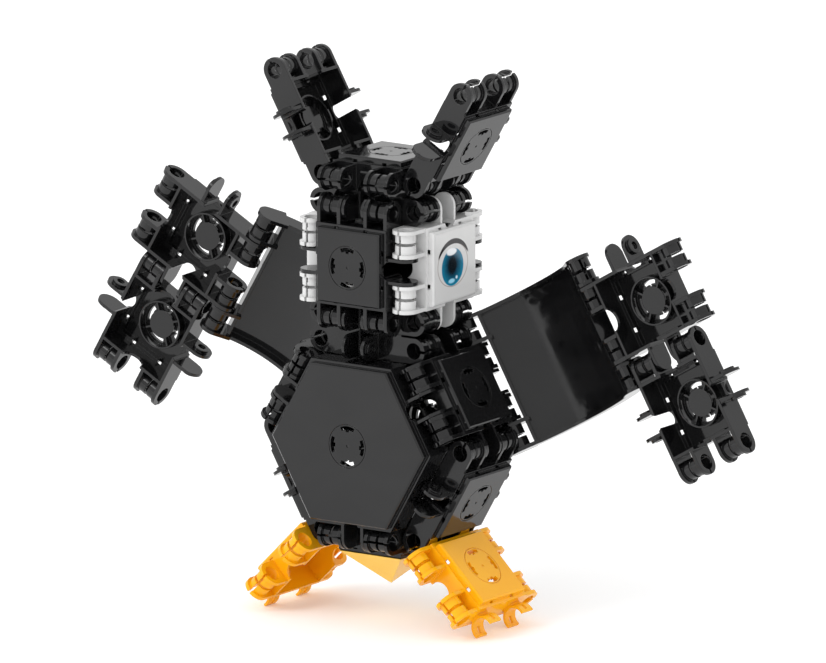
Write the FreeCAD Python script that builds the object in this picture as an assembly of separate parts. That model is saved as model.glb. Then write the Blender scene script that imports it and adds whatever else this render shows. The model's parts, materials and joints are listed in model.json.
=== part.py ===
# Hinged-tile construction toy creature: square, hexagonal, curved, clip and
# pyramid tiles snapped together along round hinge barrels.
# Millimetres, +Z up, the creature faces -Y.  The origin lies on the ground,
# under the middle of the whole figure's width and depth.
import FreeCAD
import Part
import math
import os

V = FreeCAD.Vector

# ---- hinge system shared by every tile -------------------------------------
PITCH = 40.0            # hinge axis to hinge axis across a square tile
HALF = PITCH / 2.0
BARREL_R = 4.7          # round ends of the barrel flanges
DRUM_R = 3.75           # drum between two flanges
DRUM_GAP = 1.1          # gap between the two halves of a drum
BORE_R = 2.95           # bore that takes a peg
PEG_R = 2.9             # snap peg, a running fit in the bore
FLANGE_T = 1.4          # flange thickness along the axis
SLIT_W = 0.9            # split that lets the barrel flex
BARREL_IN = 5.0         # inner end of a barrel, measured from the tile centre
BARREL_OUT = 15.0       # outer end of a barrel, also the tile half width
TAB_IN = 3.55           # inner face of a snap tab
TAB_OUT = 4.7           # outer face of a snap tab
TAB_R = 4.5
PEG_LEN = 1.0           # peg height above the tab
DIMPLE_R = 1.5
DIMPLE_DEPTH = 0.8

# ---- tile body -------------------------------------------------------------
BODY_U = 14.7           # half length between the two barrel sides
BODY_V = 15.0           # half width between the two tab sides
RIM_Z = -4.8            # open rim on the back
FRAME_Z = 5.3           # frame level on the face
PLATE_Z = 7.5           # top of the raised plate
PLATE_HALF = 13.4
PLATE_BEVEL = 0.5
WALL_U = 1.05
WALL_V = 1.2
FLOOR_T = 1.4
NOTCH_R = 3.2           # round notch between two snap tabs
NOTCH_OUT = 1.0         # the notch's centre lies this far outside the wall
BITE_R = 4.2            # round bite in the rim between two barrels
STACK = FRAME_Z - RIM_Z  # level step of two nested tiles

# ---- ring in the middle of each plate --------------------------------------
RING_IN = 7.7
RING_OUT = 8.0
RING_DEPTH = 0.3
SLOT_IN = 5.85
SLOT_OUT = 7.25
SLOT_SPAN = 50.0
SLOT_NOTCH = 0.7        # half width of the small notch in each slot's inner edge
BOSS_IN = 8.2
BOSS_OUT = 8.9
BOSS_Z = 2.8
DISC_R = 5.1
DISC_Z = 4.4
RIB_T = 0.8             # thickness of the four ribs between disc and boss
DOT_R = 0.5
DOT_DEPTH = 0.3

# ---- small slots under the plate's edges -----------------------------------
VENT_IN = 12.0
VENT_OUT = 13.9
VENT_LEN = 1.7
VENT_Y = 6.3

# ---- hexagon ---------------------------------------------------------------
HEX_APOTHEM = PITCH * math.sqrt(3.0) / 2.0
HEX_BODY = HEX_APOTHEM - (HALF - BODY_V)
HEX_PLATE = 28.4        # plate apothem
HEX_WALL = 1.3

# ---- curved wing panel -----------------------------------------------------
BEND_R = PITCH          # the hinge circle of the quarter-round panel
PANEL_HALF = 26.0       # half width along the hinge axis
PANEL_EDGE = 5.3        # gap from a hinge axis to the panel edge
PANEL_LIP = 3.0         # edge walls reach this far in and out of the hinge circle
SHEET_IN = 1.0
SHEET_OUT = 2.6
PANEL_WALL = 1.3
ARM_R = 4.5
ARM_IN = 15.3           # inner end of the corner barrels
ARM_PEG = 1.3

# ---- clip foot -------------------------------------------------------------
CLIP_IN_R = 3.8         # grips the drum of another tile
CLIP_OUT_R = 4.7
CLIP_FROM = 6.8
CLIP_TO = 13.2
CLIP_SPAN = 204.0
CLIP_SLOT_W = 1.3
CLIP_SLOT_FROM = -2.6   # the closed slot in each finger, measured from the clip axis
CLIP_SLOT_TO = -0.2
CLIP_NECK = 2.0

# ---- pyramid cap and printed eyes ------------------------------------------
PYRAMID_H = 12.7
PYRAMID_WALL = 1.3
LUG_GAP = 0.05
LUG_LEN = 2.0
HUB_OUT = 7.6
HUB_IN = 5.4
PRINT_HALF = 12.6
PRINT_CORNER = 0.6
PRINT_T = 0.08

# ---- pose of the assembled creature ----------------------------------------
EAR_LEAN = 30.0         # each ear leans this far outwards from upright
WING_FOLD = 1.5         # the outer wing tiles fold forward from the panel's chord
FOOT_DROP = 45.0        # each foot slopes down this far below level
TIP_ANGLE = 180.0 - CLIP_SPAN / 2.0 - FOOT_DROP     # a finger tip's angle from straight down
FOOT_RISE = (PITCH * math.sin(math.radians(FOOT_DROP))
             + CLIP_OUT_R * math.cos(math.radians(TIP_ANGLE)))
BODY_H = HEX_APOTHEM + FOOT_RISE
PANEL_BULGE = BEND_R + PANEL_LIP - BEND_R / math.sqrt(2.0)
BODY_Y = (PLATE_Z - PANEL_BULGE) / 2.0


def block(x0, x1, y0, y1, z0, z1):
    return Part.makeBox(x1 - x0, y1 - y0, z1 - z0, V(x0, y0, z0))


def rod(radius, start, axis, length, sweep=360.0):
    return Part.makeCylinder(radius, length, start, axis, sweep)


def fuse(shapes):
    return shapes[0].multiFuse(shapes[1:])


def turned(shape, angle):
    copy = shape.copy()
    copy.rotate(V(0, 0, 0), V(0, 0, 1), angle)
    return copy


def mirrored(shape, normal):
    return shape.mirror(V(0, 0, 0), normal)


def raised(points, z0, z1, bevel):
    """Flat block on a polygon outline, bevelled along its top edges."""
    wire = Part.makePolygon([V(x, y, z0) for x, y in points + points[:1]])
    solid = Part.Face(wire).extrude(V(0, 0, z1 - z0))
    if bevel == 0:
        return solid
    top = [e for e in solid.Edges if min(v.Z for v in e.Vertexes) > z1 - bevel]
    return solid.makeChamfer(bevel, top)


def polygon(sides, apothem, first):
    """Corner points of a regular polygon with its first side facing 'first'."""
    radius = apothem / math.cos(math.pi / sides)
    corners = []
    for k in range(sides):
        angle = math.radians(first + (k + 0.5) * 360.0 / sides)
        corners.append((radius * math.cos(angle), radius * math.sin(angle)))
    return corners


def ring_sector(r_in, r_out, z0, z1, middle, span):
    outer = rod(r_out, V(0, 0, z0), V(0, 0, 1), z1 - z0, span)
    inner = rod(r_in, V(0, 0, z0), V(0, 0, 1), z1 - z0, span)
    return turned(outer.cut(inner), middle - span / 2.0)


def ring(r_in, r_out, z0, z1):
    outer = rod(r_out, V(0, 0, z0), V(0, 0, 1), z1 - z0)
    return outer.cut(rod(r_in, V(0, 0, z0), V(0, 0, 1), z1 - z0))


def rounded_lug(centre, root, radius, y0, y1):
    """Upright web across the Y axis with a round end at x = centre."""
    end = rod(radius, V(centre, y0, 0), V(0, 1, 0), y1 - y0)
    return end.fuse(block(root, centre, y0, y1, -radius, radius))


def barrel(centre, root, y0, y1, radius, bored):
    """Split snap barrel between two flanges; returns solids to add and to cut."""
    half = (y1 - y0 - DRUM_GAP) / 2.0
    add = [
        rounded_lug(centre, root, radius, y0, y0 + FLANGE_T),
        rounded_lug(centre, root, radius, y1 - FLANGE_T, y1),
        rod(DRUM_R, V(centre, y0, 0), V(0, 1, 0), half),
        rod(DRUM_R, V(centre, y1 - half, 0), V(0, 1, 0), half),
    ]
    bore_from, bore_to = bored
    cut = [
        rod(BORE_R, V(centre, bore_from, 0), V(0, 1, 0), bore_to - bore_from),
        block(centre, centre + BARREL_R, bore_from, bore_to, -SLIT_W / 2.0, SLIT_W / 2.0),
    ]
    return add, cut


def barrel_side():
    """Two barrels on the +X side, with a bite in the rim between them."""
    wall = BODY_U - WALL_U
    add, cut = barrel(HALF, wall, BARREL_IN, BARREL_OUT, BARREL_R, (BARREL_IN, BARREL_OUT))
    flip = V(0, 1, 0)
    bite = rod(BITE_R, V(wall - WALL_U, 0, RIM_Z), V(1, 0, 0), 3.0 * WALL_U)
    return (add + [mirrored(s, flip) for s in add],
            cut + [mirrored(s, flip) for s in cut] + [bite])


def tab_side(axis_y):
    """Two snap tabs on the +Y side, their pegs pointing outwards along X."""
    add = []
    cut = []
    wall = axis_y - (HALF - BODY_V)
    for side in (-1, 1):
        start = TAB_IN if side > 0 else -TAB_OUT
        face = V(side * TAB_OUT, axis_y, 0)
        out = V(side, 0, 0)
        thick = TAB_OUT - TAB_IN
        add.append(rod(TAB_R, V(start, axis_y, 0), V(1, 0, 0), thick))
        add.append(block(start, start + thick, wall - WALL_V, axis_y, -TAB_R, TAB_R))
        add.append(rod(PEG_R, face, out, PEG_LEN))
        bottom = V(side * (TAB_OUT + PEG_LEN - DIMPLE_DEPTH), axis_y, 0)
        cut.append(rod(DIMPLE_R, bottom, out, DIMPLE_DEPTH))
    cut.append(rod(NOTCH_R, V(0, wall + NOTCH_OUT, RIM_Z), V(0, 0, 1), FRAME_Z - RIM_Z))
    return add, cut


def clip_side():
    """Two C clips with slotted fingers on the +Y side, open outwards."""
    add = []
    width = CLIP_TO - CLIP_FROM
    axis_at = V(CLIP_FROM, HALF, 0)
    hoop = rod(CLIP_OUT_R, axis_at, V(1, 0, 0), width, CLIP_SPAN)
    hoop = hoop.cut(rod(CLIP_IN_R, axis_at, V(1, 0, 0), width))
    hoop.rotate(axis_at, V(1, 0, 0), 90.0 - CLIP_SPAN / 2.0)
    middle = (CLIP_FROM + CLIP_TO) / 2.0
    slot = block(middle - CLIP_SLOT_W / 2.0, middle + CLIP_SLOT_W / 2.0,
                 HALF + CLIP_SLOT_FROM, HALF + CLIP_SLOT_TO, -CLIP_OUT_R, CLIP_OUT_R)
    neck = block(CLIP_FROM, CLIP_TO, BODY_V - WALL_V, HALF - CLIP_IN_R, -CLIP_NECK, CLIP_NECK)
    neck = neck.cut(rod(CLIP_IN_R, axis_at, V(1, 0, 0), width))
    clip = hoop.cut(slot).fuse(neck)
    add.append(clip)
    add.append(mirrored(clip, V(1, 0, 0)))
    return add, []


def plate_ring():
    """Ring groove, four arc slots and centre dot; returns add and cut lists."""
    add = [
        ring(BOSS_IN, BOSS_OUT, BOSS_Z, PLATE_Z - FLOOR_T),
        rod(DISC_R, V(0, 0, DISC_Z), V(0, 0, 1), PLATE_Z - FLOOR_T - DISC_Z),
    ]
    cut = [
        ring(RING_IN, RING_OUT, PLATE_Z - RING_DEPTH, PLATE_Z),
        rod(DOT_R, V(0, 0, PLATE_Z - DOT_DEPTH), V(0, 0, 1), DOT_DEPTH),
    ]
    rib = block(DISC_R - RIB_T, BOSS_IN + RIB_T / 2.0, -RIB_T / 2.0, RIB_T / 2.0,
                DISC_Z, PLATE_Z - FLOOR_T)
    add += [turned(rib, diagonal) for diagonal in (45, 135, 225, 315)]
    notch = block(DISC_R, SLOT_IN, -SLOT_NOTCH, SLOT_NOTCH, BOSS_Z, PLATE_Z)
    for middle in (0, 90, 180, 270):
        cut.append(ring_sector(SLOT_IN, SLOT_OUT, BOSS_Z, PLATE_Z, middle, SLOT_SPAN))
        cut.append(turned(notch, middle))
    return add, cut


def tile_from(body, add, cut):
    solid = fuse([body] + add)
    solid = solid.cut(fuse(cut))
    return solid.removeSplitter()


def square_tile(v_side):
    """Square tile: barrels on the X sides, 'v_side' snap parts on the Y sides."""
    inner_u = BODY_U - WALL_U
    inner_v = BODY_V - WALL_V
    well = PLATE_HALF - WALL_V
    body = block(-BODY_U, BODY_U, -BODY_V, BODY_V, RIM_Z, FRAME_Z)
    body = body.cut(block(-inner_u, inner_u, -inner_v, inner_v, RIM_Z, FRAME_Z - FLOOR_T))
    body = body.fuse(raised(polygon(4, PLATE_HALF, 0), FRAME_Z, PLATE_Z, PLATE_BEVEL))
    body = body.cut(block(-well, well, -well, well, RIM_Z, PLATE_Z - FLOOR_T))
    add, cut = plate_ring()
    barrels, bores = barrel_side()
    snaps, notches = v_side
    for angle in (0, 180):
        add += [turned(s, angle) for s in barrels + snaps]
        cut += [turned(s, angle) for s in bores + notches]
    for vent_y in (-VENT_Y, VENT_Y):
        vent = block(VENT_IN, VENT_OUT, vent_y - VENT_LEN / 2.0, vent_y + VENT_LEN / 2.0,
                     FRAME_Z - FLOOR_T, PLATE_Z - FLOOR_T)
        cut += [turned(vent, angle) for angle in (0, 90, 180, 270)]
    return tile_from(body, add, cut)


def hexagon_tile():
    """Hexagon with snap tabs on three sides and plain edges between them."""
    def prism(apothem, z0, z1, bevel=0):
        return raised(polygon(6, apothem, 30), z0, z1, bevel)

    body = prism(HEX_BODY, RIM_Z, FRAME_Z)
    body = body.cut(prism(HEX_BODY - HEX_WALL, RIM_Z, FRAME_Z - FLOOR_T))
    body = body.fuse(prism(HEX_PLATE, FRAME_Z, PLATE_Z, PLATE_BEVEL))
    body = body.cut(prism(HEX_PLATE - HEX_WALL, RIM_Z, PLATE_Z - FLOOR_T))
    add, cut = plate_ring()
    snaps, notches = tab_side(HEX_APOTHEM)
    for angle in (-60, 60, 180):
        add += [turned(s, angle) for s in snaps]
        cut += [turned(s, angle) for s in notches]
    return tile_from(body, add, cut)


def wing_panel():
    """Quarter-round panel; root hinge on the Y axis, bulging towards +Z."""
    chord = BEND_R * math.sqrt(2.0)
    centre = V(chord / 2.0, 0, -chord / 2.0)
    edge_angle = math.degrees(PANEL_EDGE / BEND_R)
    wall_angle = math.degrees(PANEL_WALL / BEND_R)

    def arc(r_in, r_out, y0, y1, trim):
        span = 90.0 - 2.0 * trim
        at = V(centre.x, y0, centre.z)
        outer = rod(r_out, at, V(0, 1, 0), y1 - y0, span)
        band = outer.cut(rod(r_in, at, V(0, 1, 0), y1 - y0))
        band.rotate(at, V(0, 1, 0), -135.0 + trim + 90.0)
        return band

    inside = BEND_R - PANEL_LIP
    outside = BEND_R + PANEL_LIP
    frame = arc(inside, outside, -PANEL_HALF, PANEL_HALF, edge_angle)
    window = arc(inside, outside, PANEL_WALL - PANEL_HALF, PANEL_HALF - PANEL_WALL,
                 edge_angle + wall_angle)
    sheet = arc(BEND_R + SHEET_IN, BEND_R + SHEET_OUT, -PANEL_HALF, PANEL_HALF, edge_angle)
    add = [sheet]
    cut = []
    tilt = 45.0
    root = -PANEL_EDGE - PANEL_WALL
    pieces, bores = barrel(0, root, ARM_IN, PANEL_HALF, ARM_R,
                           (ARM_IN + FLANGE_T, PANEL_HALF - FLANGE_T))
    peg = rod(PEG_R, V(0, ARM_IN - ARM_PEG, 0), V(0, 1, 0), ARM_PEG)
    for shapes, target in ((pieces + [peg], add), (bores, cut)):
        for shape in shapes:
            outer_end = shape.copy()
            outer_end.rotate(V(0, 0, 0), V(0, 1, 0), tilt)
            outer_end.translate(V(chord, 0, 0))
            for corner in (outer_end, mirrored(outer_end, V(0, 1, 0))):
                target.append(corner)
                opposite = corner.mirror(V(chord / 2.0, 0, 0), V(1, 0, 0))
                target.append(opposite)
    return tile_from(frame.cut(window), add, cut)


def pyramid_cap():
    """Hollow pyramid whose four lugs push into the arc slots of a plate."""
    def pyramid(half, height):
        corners = polygon(4, half, 0)
        tip = V(0, 0, height)
        base = [V(x, y, 0) for x, y in corners]
        faces = [Part.Face(Part.makePolygon(base + base[:1]))]
        for k in range(4):
            loop = [base[k], base[(k + 1) % 4], tip, base[k]]
            faces.append(Part.Face(Part.makePolygon(loop)))
        return Part.Solid(Part.Shell(faces))

    outer = pyramid(PLATE_HALF, PYRAMID_H)
    scale = (PLATE_HALF - PYRAMID_WALL) / PLATE_HALF
    shell = outer.cut(pyramid(PLATE_HALF * scale, PYRAMID_H * scale))
    hub = ring(HUB_IN, HUB_OUT, 0, PYRAMID_H).common(outer)
    add = [hub]
    for middle in (0, 90, 180, 270):
        add.append(ring_sector(SLOT_IN + LUG_GAP, SLOT_OUT - LUG_GAP, -LUG_LEN, PYRAMID_WALL,
                               middle, SLOT_SPAN - 2.0))
    return fuse([shell] + add).removeSplitter()


def eye_print():
    """Thin printed label with round corners."""
    sheet = block(-PRINT_HALF, PRINT_HALF, -PRINT_HALF, PRINT_HALF, 0, PRINT_T)
    upright = [e for e in sheet.Edges if abs(e.Vertexes[0].Z - e.Vertexes[1].Z) > 0]
    return sheet.makeFillet(PRINT_CORNER, upright)


def placed(shape, origin, u, n):
    """Copy of a tile with its X axis along u and its face along n."""
    v = n.cross(u)
    matrix = FreeCAD.Matrix(u.x, v.x, n.x, origin.x,
                            u.y, v.y, n.y, origin.y,
                            u.z, v.z, n.z, origin.z,
                            0, 0, 0, 1)
    copy = shape.copy()
    copy.Placement = FreeCAD.Placement(matrix)
    return copy


def heading(angle):
    """Unit vector in the XZ plane, measured from +X towards +Z."""
    return V(math.cos(math.radians(angle)), 0, math.sin(math.radians(angle)))


def build():
    tile = square_tile(tab_side(HALF))
    clip_tile = square_tile(clip_side())
    hexagon = hexagon_tile()
    panel = wing_panel()
    across = V(1, 0, 0)
    back = V(0, 1, 0)
    front = V(0, -1, 0)
    up = V(0, 0, 1)
    body = V(0, BODY_Y, BODY_H)
    parts = {}

    # hexagonal body: six square tiles round the rim, closed front and back
    parts["body_front_hexagon"] = placed(hexagon, body + front * HALF, across, front)
    parts["body_back_hexagon"] = placed(hexagon, body + back * HALF, -across, back)
    rim = (("body_top_tile", 90, across), ("body_bottom_tile", 270, back),
           ("body_upper_right_tile", 30, back), ("body_upper_left_tile", 150, back),
           ("body_lower_right_tile", -30, heading(60)),
           ("body_lower_left_tile", 210, heading(120)))
    for name, angle, along in rim:
        out = heading(angle)
        parts[name] = placed(tile, body + out * HEX_APOTHEM, along, out)

    # head: a closed cube of six tiles nested on the top of the body
    floor = body + up * (HEX_APOTHEM + STACK)
    head = floor + up * HALF
    roof = head + up * HALF
    parts["head_bottom_tile"] = placed(tile, floor, across, up)
    parts["head_top_tile"] = placed(tile, roof, across, up)
    parts["head_front_tile"] = placed(tile, head + front * HALF, up, front)
    parts["head_back_tile"] = placed(tile, head + back * HALF, up, back)
    sides = (("right", 1), ("left", -1))
    for name, sign in sides:
        out = across * sign
        parts["head_%s_tile" % name] = placed(tile, head + out * HALF, back, out)
        label = head + out * (HALF + PLATE_Z)
        parts["eye_print_%s" % name] = placed(eye_print(), label, back, out)

    # crown tile nested on the head, with an ear hinged on each side
    crown = roof + up * STACK
    parts["crown_tile"] = placed(tile, crown, back, up)
    for name, sign in sides:
        along = V(sign * math.sin(math.radians(EAR_LEAN)), 0, math.cos(math.radians(EAR_LEAN)))
        face = V(sign * along.z, 0, -abs(along.x))
        hinge = crown + across * (sign * HALF)
        parts["ear_tile_%s" % name] = placed(tile, hinge + along * HALF, along, face)

    # wings: a curved panel on the back barrels of the upper rim tiles, then two tiles
    chord = BEND_R * math.sqrt(2.0)
    fold = math.radians(WING_FOLD)
    for name, sign in sides:
        out = V(sign * heading(30).x, 0, heading(30).z)
        down = V(sign * heading(-60).x, 0, heading(-60).z)
        root = body + out * HEX_APOTHEM + back * HALF
        parts["wing_panel_%s" % name] = placed(panel, root, out, back)
        along = out * math.cos(fold) + front * math.sin(fold)
        face = back * math.cos(fold) + out * math.sin(fold)
        outer = root + out * chord + along * HALF
        parts["wing_outer_tile_%s" % name] = placed(tile, outer, along, face)
        parts["wing_tip_tile_%s" % name] = placed(tile, outer + down * PITCH, -down, face)

    # feet: clip tiles gripping the lower barrels of the lower rim tiles
    slope = math.radians(FOOT_DROP)
    for name, sign in sides:
        along = V(sign * math.cos(slope), 0, -math.sin(slope))
        face = V(sign * math.sin(slope), 0, math.cos(slope))
        hinge = body + V(sign * HALF, 0, -HEX_APOTHEM)
        parts["foot_tile_%s" % name] = placed(clip_tile, hinge + along * HALF, back, face)

    # pyramid cap plugged into the plate of the bottom tile
    plate = body - up * (HEX_APOTHEM + PLATE_Z)
    parts["pyramid_cap"] = placed(pyramid_cap(), plate, across, -up)
    return parts


os.makedirs("parts", exist_ok=True)
for node, solid in build().items():
    solid.exportStep("parts/%s.step" % node)
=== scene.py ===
"""Looks of the hinged-tile construction toy creature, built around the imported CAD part."""
import json
import math

import bpy
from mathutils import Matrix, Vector


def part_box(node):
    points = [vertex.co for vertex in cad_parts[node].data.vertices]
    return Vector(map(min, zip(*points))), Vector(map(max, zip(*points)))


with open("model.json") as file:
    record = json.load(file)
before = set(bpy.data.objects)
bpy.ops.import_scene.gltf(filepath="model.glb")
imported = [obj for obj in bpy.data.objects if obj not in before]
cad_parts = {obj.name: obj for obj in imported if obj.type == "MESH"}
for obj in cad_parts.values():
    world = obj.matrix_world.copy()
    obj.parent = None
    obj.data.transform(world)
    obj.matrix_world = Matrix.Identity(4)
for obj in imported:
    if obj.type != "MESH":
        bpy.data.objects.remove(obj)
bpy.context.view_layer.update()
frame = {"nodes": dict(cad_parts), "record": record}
NODES = frame["nodes"]
MM = 0.001

# ---- where the figure is, from the frame ------------------------------------
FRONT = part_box("body_front_hexagon")[0].y
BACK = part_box("body_back_hexagon")[1].y
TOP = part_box("body_top_tile")[1].z
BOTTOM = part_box("body_bottom_tile")[0].z
BODY = Vector((0.0, (FRONT + BACK) / 2, (TOP + BOTTOM) / 2))

# ---- camera -----------------------------------------------------------------
AZIMUTH = math.radians(34.5)
ELEVATION = math.radians(12.2)
DISTANCE = 10.0         # metres, a nearly parallel view
SENSOR = 36.0
VIEW_WIDTH = 0.2938     # metres across the picture at the body
LENS = SENSOR * DISTANCE / VIEW_WIDTH
CLIP_START, CLIP_END = 0.1, 60.0
AIM = BODY + Vector((6.4, 4.4, 36.8)) * MM

# ---- studio: white surroundings, pale floor, soft key lamp --------------------
WORLD_STRENGTH = 1.06
FLOOR_HALF = 9.0
FLOOR_TONES = ((0.94, 0.94, 0.94), (0.96, 0.96, 0.96))
FLOOR_NOISE = 3.0
FLOOR_ROUGH = 0.9
FLOOR_GLOW = 0.14
KEY_FROM = Vector((-0.9, -2.2, 2.0))    # metres from the middle of the body
KEY_WATTS = 28.0
KEY_SIZE = 1.6

# ---- moulded plastic: two near colours, roughness range, gloss ----------------
BLACK = ((0.005, 0.005, 0.0054), (0.008, 0.008, 0.0084), (0.06, 0.13), 1.45)
WHITE = ((0.60, 0.60, 0.60), (0.64, 0.64, 0.635), (0.10, 0.18), 1.45)
ORANGE = ((0.93, 0.42, 0.004), (0.95, 0.46, 0.006), (0.12, 0.20), 1.35)
YELLOW = ((0.97, 0.60, 0.09), (0.99, 0.64, 0.11), (0.12, 0.20), 1.35)
SOFT_EDGE = 0.28 * MM
EDGE_SAMPLES = 6
PEEL_STRENGTH = 0.05
PEEL_DEPTH = 0.15 * MM

# ---- printed eyes, millimetres from the middle of the label -------------------
EDGE = 0.3              # softness of a printed line
IRIS_AT, IRIS_R = (-1.6, -0.8), (6.8, 6.8)
IRIS_RIM, IRIS_CORE = (0.010, 0.20, 0.33), (0.005, 0.055, 0.10)
SHADE_R, SHADE_SOFT = (5.2, 5.6), 4.5
FIBRES = 0.5
PUPIL_AT, PUPIL_R, PUPIL_SOFT = (-1.8, -0.2), (2.9, 3.4), 2.2
PUPIL_INK = (0.002, 0.006, 0.010)
GLINTS = (((-2.2, 4.8), (3.1, 1.3), (0.80, 0.82, 0.84)),
          ((-2.2, -5.8), (1.9, 0.8), (0.30, 0.62, 0.80)),
          ((0.9, -4.9), (0.6, 0.6), (0.62, 0.76, 0.84)))
GLINT_SOFT = 0.5
LID_AT, LID_R, LID_LINE = (-1.5, 0.0), (9.5, 8.0), 0.35
LID_INK, LID_WEIGHT = (0.16, 0.10, 0.08), 0.6
BROW_AT, BROW_R = (-1.2, 0.4), (10.0, 9.0)
BROW_UNDER_AT, BROW_UNDER_R = (-1.2, -0.9), (10.0, 8.4)
BROW_FROM = (2.6, 4.2)  # the brow fades in between these heights
BROW_INK = (0.02, 0.018, 0.02)


def add_camera():
    data = bpy.data.cameras.new("camera")
    data.sensor_width = SENSOR
    data.lens = LENS
    data.clip_start = CLIP_START
    data.clip_end = CLIP_END
    cam = bpy.data.objects.new("camera", data)
    bpy.context.scene.collection.objects.link(cam)
    away = Vector((math.sin(AZIMUTH) * math.cos(ELEVATION),
                   -math.cos(AZIMUTH) * math.cos(ELEVATION), math.sin(ELEVATION)))
    cam.location = AIM + away * DISTANCE
    cam.rotation_mode = "QUATERNION"
    cam.rotation_quaternion = (-away).to_track_quat("-Z", "Y")
    bpy.context.scene.camera = cam


# ---- node helper ------------------------------------------------------------
class Graph:
    """Short way to write shader node trees."""

    def __init__(self, name):
        self.material = bpy.data.materials.new(name)
        self.material.use_nodes = True
        self.tree = self.material.node_tree
        self.shader = next(n for n in self.tree.nodes if n.type == "BSDF_PRINCIPLED")

    def link(self, source, target):
        self.tree.links.new(source, target)

    def feed(self, socket, value):
        if isinstance(value, bpy.types.NodeSocket):
            self.link(value, socket)
        else:
            socket.default_value = value

    def math(self, operation, *values, clamp=False):
        node = self.tree.nodes.new("ShaderNodeMath")
        node.operation = operation
        node.use_clamp = clamp
        for socket, value in zip(node.inputs, values):
            self.feed(socket, value)
        return node.outputs[0]

    def position(self):
        return self.tree.nodes.new("ShaderNodeTexCoord").outputs["Object"]

    def noise(self, scale, detail=4.0, rough=0.55, distort=0.0, stretch=None):
        coords = self.position()
        if stretch is not None:
            mapping = self.tree.nodes.new("ShaderNodeMapping")
            mapping.inputs["Scale"].default_value = stretch
            self.link(coords, mapping.inputs["Vector"])
            coords = mapping.outputs[0]
        node = self.tree.nodes.new("ShaderNodeTexNoise")
        node.inputs["Scale"].default_value = scale
        node.inputs["Detail"].default_value = detail
        node.inputs["Roughness"].default_value = rough
        node.inputs["Distortion"].default_value = distort
        self.link(coords, node.inputs["Vector"])
        return node.outputs["Fac"]

    def span(self, value, low, high, to_low, to_high):
        node = self.tree.nodes.new("ShaderNodeMapRange")
        node.interpolation_type = "SMOOTHSTEP"
        for socket, number in zip(node.inputs, (value, low, high, to_low, to_high)):
            self.feed(socket, number)
        return node.outputs[0]

    def plane(self, centre):
        """Distances from centre along Y and Z, in millimetres."""
        node = self.tree.nodes.new("ShaderNodeVectorMath")
        node.operation = "MULTIPLY_ADD"
        self.link(self.position(), node.inputs[0])
        node.inputs[1].default_value = (1 / MM, 1 / MM, 1 / MM)
        node.inputs[2].default_value = -centre / MM
        parts = self.tree.nodes.new("ShaderNodeSeparateXYZ")
        self.link(node.outputs[0], parts.inputs[0])
        return parts.outputs[1], parts.outputs[2]

    def oval(self, plane, centre, radii, soft):
        """1 inside an oval, 0 outside, with an edge 'soft' millimetres wide."""
        squares = []
        for axis, middle, radius in zip(plane, centre, radii):
            scaled = self.math("DIVIDE", self.math("SUBTRACT", axis, middle), radius)
            squares.append(self.math("MULTIPLY", scaled, scaled))
        reach = self.math("SQRT", self.math("ADD", *squares))
        edge = soft / min(radii) / 2
        return self.span(reach, 1 - edge, 1 + edge, 1.0, 0.0)

    def mix(self, factor, a, b):
        node = self.tree.nodes.new("ShaderNodeMix")
        node.data_type = "RGBA"
        self.feed(node.inputs["Factor"], factor)
        for socket, colour in ((node.inputs[6], a), (node.inputs[7], b)):
            self.feed(socket, colour if isinstance(colour, bpy.types.NodeSocket) else (*colour, 1.0))
        return node.outputs[2]


def moulded(name, colour, tint, rough, gloss_ior):
    """Gloss moulded plastic: flow marks, handling haze, fine orange peel and soft edges."""
    g = Graph(name)
    s = g.shader
    flow = g.noise(28.0, 3.0, 0.5, 0.6, (1.0, 1.0, 2.2))
    g.link(g.mix(g.span(flow, 0.3, 0.7, 0.0, 1.0), colour, tint), s.inputs["Base Color"])
    haze = g.noise(90.0, 5.0, 0.62, 0.4)
    g.link(g.span(haze, 0.35, 0.75, rough[0], rough[1]), s.inputs["Roughness"])
    s.inputs["IOR"].default_value = gloss_ior
    bevel = g.tree.nodes.new("ShaderNodeBevel")
    bevel.samples = EDGE_SAMPLES
    bevel.inputs["Radius"].default_value = SOFT_EDGE
    peel = g.tree.nodes.new("ShaderNodeBump")
    peel.inputs["Strength"].default_value = PEEL_STRENGTH
    peel.inputs["Distance"].default_value = PEEL_DEPTH
    g.link(g.noise(420.0, 2.0, 0.5), peel.inputs["Height"])
    g.link(bevel.outputs[0], peel.inputs["Normal"])
    g.link(peel.outputs[0], s.inputs["Normal"])
    return g


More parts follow.
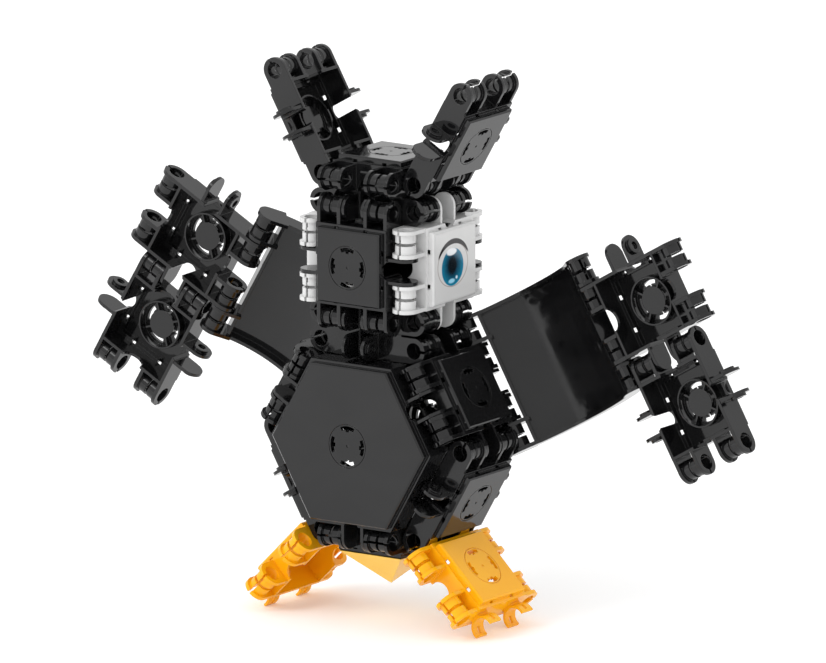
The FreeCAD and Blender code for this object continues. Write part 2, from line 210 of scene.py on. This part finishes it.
def eye_label(name, centre):
    """White label with a printed eye: lid line, brow, iris with fibres, pupil and glints."""
    g = moulded(name, *WHITE)
    ground = g.shader.inputs["Base Color"].links[0].from_socket
    plane = g.plane(centre)
    lid = g.math("SUBTRACT", g.oval(plane, LID_AT, LID_R, EDGE),
                 g.oval(plane, LID_AT, [r - LID_LINE for r in LID_R], EDGE), clamp=True)
    colour = g.mix(g.math("MULTIPLY", lid, LID_WEIGHT), ground, LID_INK)
    brow = g.math("SUBTRACT", g.oval(plane, BROW_AT, BROW_R, EDGE),
                  g.oval(plane, BROW_UNDER_AT, BROW_UNDER_R, EDGE), clamp=True)
    brow = g.math("MULTIPLY", brow, g.span(plane[1], *BROW_FROM, 0.0, 1.0))
    colour = g.mix(brow, colour, BROW_INK)
    fibres = g.noise(900.0, 3.0, 0.6, 0.8)
    shade = g.math("ADD", g.oval(plane, PUPIL_AT, SHADE_R, SHADE_SOFT),
                   g.math("MULTIPLY", g.math("SUBTRACT", fibres, 0.5), FIBRES), clamp=True)
    iris = g.mix(shade, IRIS_RIM, IRIS_CORE)
    colour = g.mix(g.oval(plane, IRIS_AT, IRIS_R, EDGE), colour, iris)
    colour = g.mix(g.oval(plane, PUPIL_AT, PUPIL_R, PUPIL_SOFT), colour, PUPIL_INK)
    for at, radii, tone in GLINTS:
        colour = g.mix(g.oval(plane, at, radii, GLINT_SOFT), colour, tone)
    g.link(colour, g.shader.inputs["Base Color"])
    return g.material


def add_materials():
    slots = {}
    for slot, look in (("black_abs", BLACK), ("white_abs", WHITE),
                       ("orange_abs", ORANGE), ("yellow_abs", YELLOW)):
        slots[slot] = moulded(slot, *look).material
    for row in frame["record"]["subparts"]:
        node = NODES[row["node"]]
        slot = row["material_slot"]
        if slot == "printed_label":
            low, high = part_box(row["node"])
            middle = node.matrix_world.inverted() @ ((low + high) / 2)
            skin = eye_label("label_" + row["node"], middle)
        else:
            skin = slots[slot]
        node.data.materials.clear()
        node.data.materials.append(skin)


def add_stage():
    half = FLOOR_HALF
    mesh = bpy.data.meshes.new("floor")
    mesh.from_pydata([(-half, -half, 0), (half, -half, 0), (half, half, 0), (-half, half, 0)],
                     [], [(0, 1, 2, 3)])
    floor = bpy.data.objects.new("floor", mesh)
    bpy.context.scene.collection.objects.link(floor)
    g = Graph("floor_pale")
    g.link(g.mix(g.noise(FLOOR_NOISE), *FLOOR_TONES), g.shader.inputs["Base Color"])
    g.shader.inputs["Roughness"].default_value = FLOOR_ROUGH
    g.shader.inputs["Emission Color"].default_value = (1, 1, 1, 1)
    g.shader.inputs["Emission Strength"].default_value = FLOOR_GLOW
    mesh.materials.append(g.material)

    world = bpy.data.worlds.new("studio")
    bpy.context.scene.world = world
    world.use_nodes = True
    world.node_tree.nodes["Background"].inputs["Color"].default_value = (1, 1, 1, 1)
    world.node_tree.nodes["Background"].inputs["Strength"].default_value = WORLD_STRENGTH

    lamp = bpy.data.lights.new("key", "AREA")
    lamp.shape = "DISK"
    lamp.size = KEY_SIZE
    lamp.energy = KEY_WATTS
    key = bpy.data.objects.new("key", lamp)
    bpy.context.scene.collection.objects.link(key)
    key.location = BODY + KEY_FROM
    key.rotation_mode = "QUATERNION"
    key.rotation_quaternion = (-KEY_FROM).to_track_quat("-Z", "Y")


add_camera()
add_stage()
add_materials()
bpy.context.scene.view_settings.view_transform = "Standard"
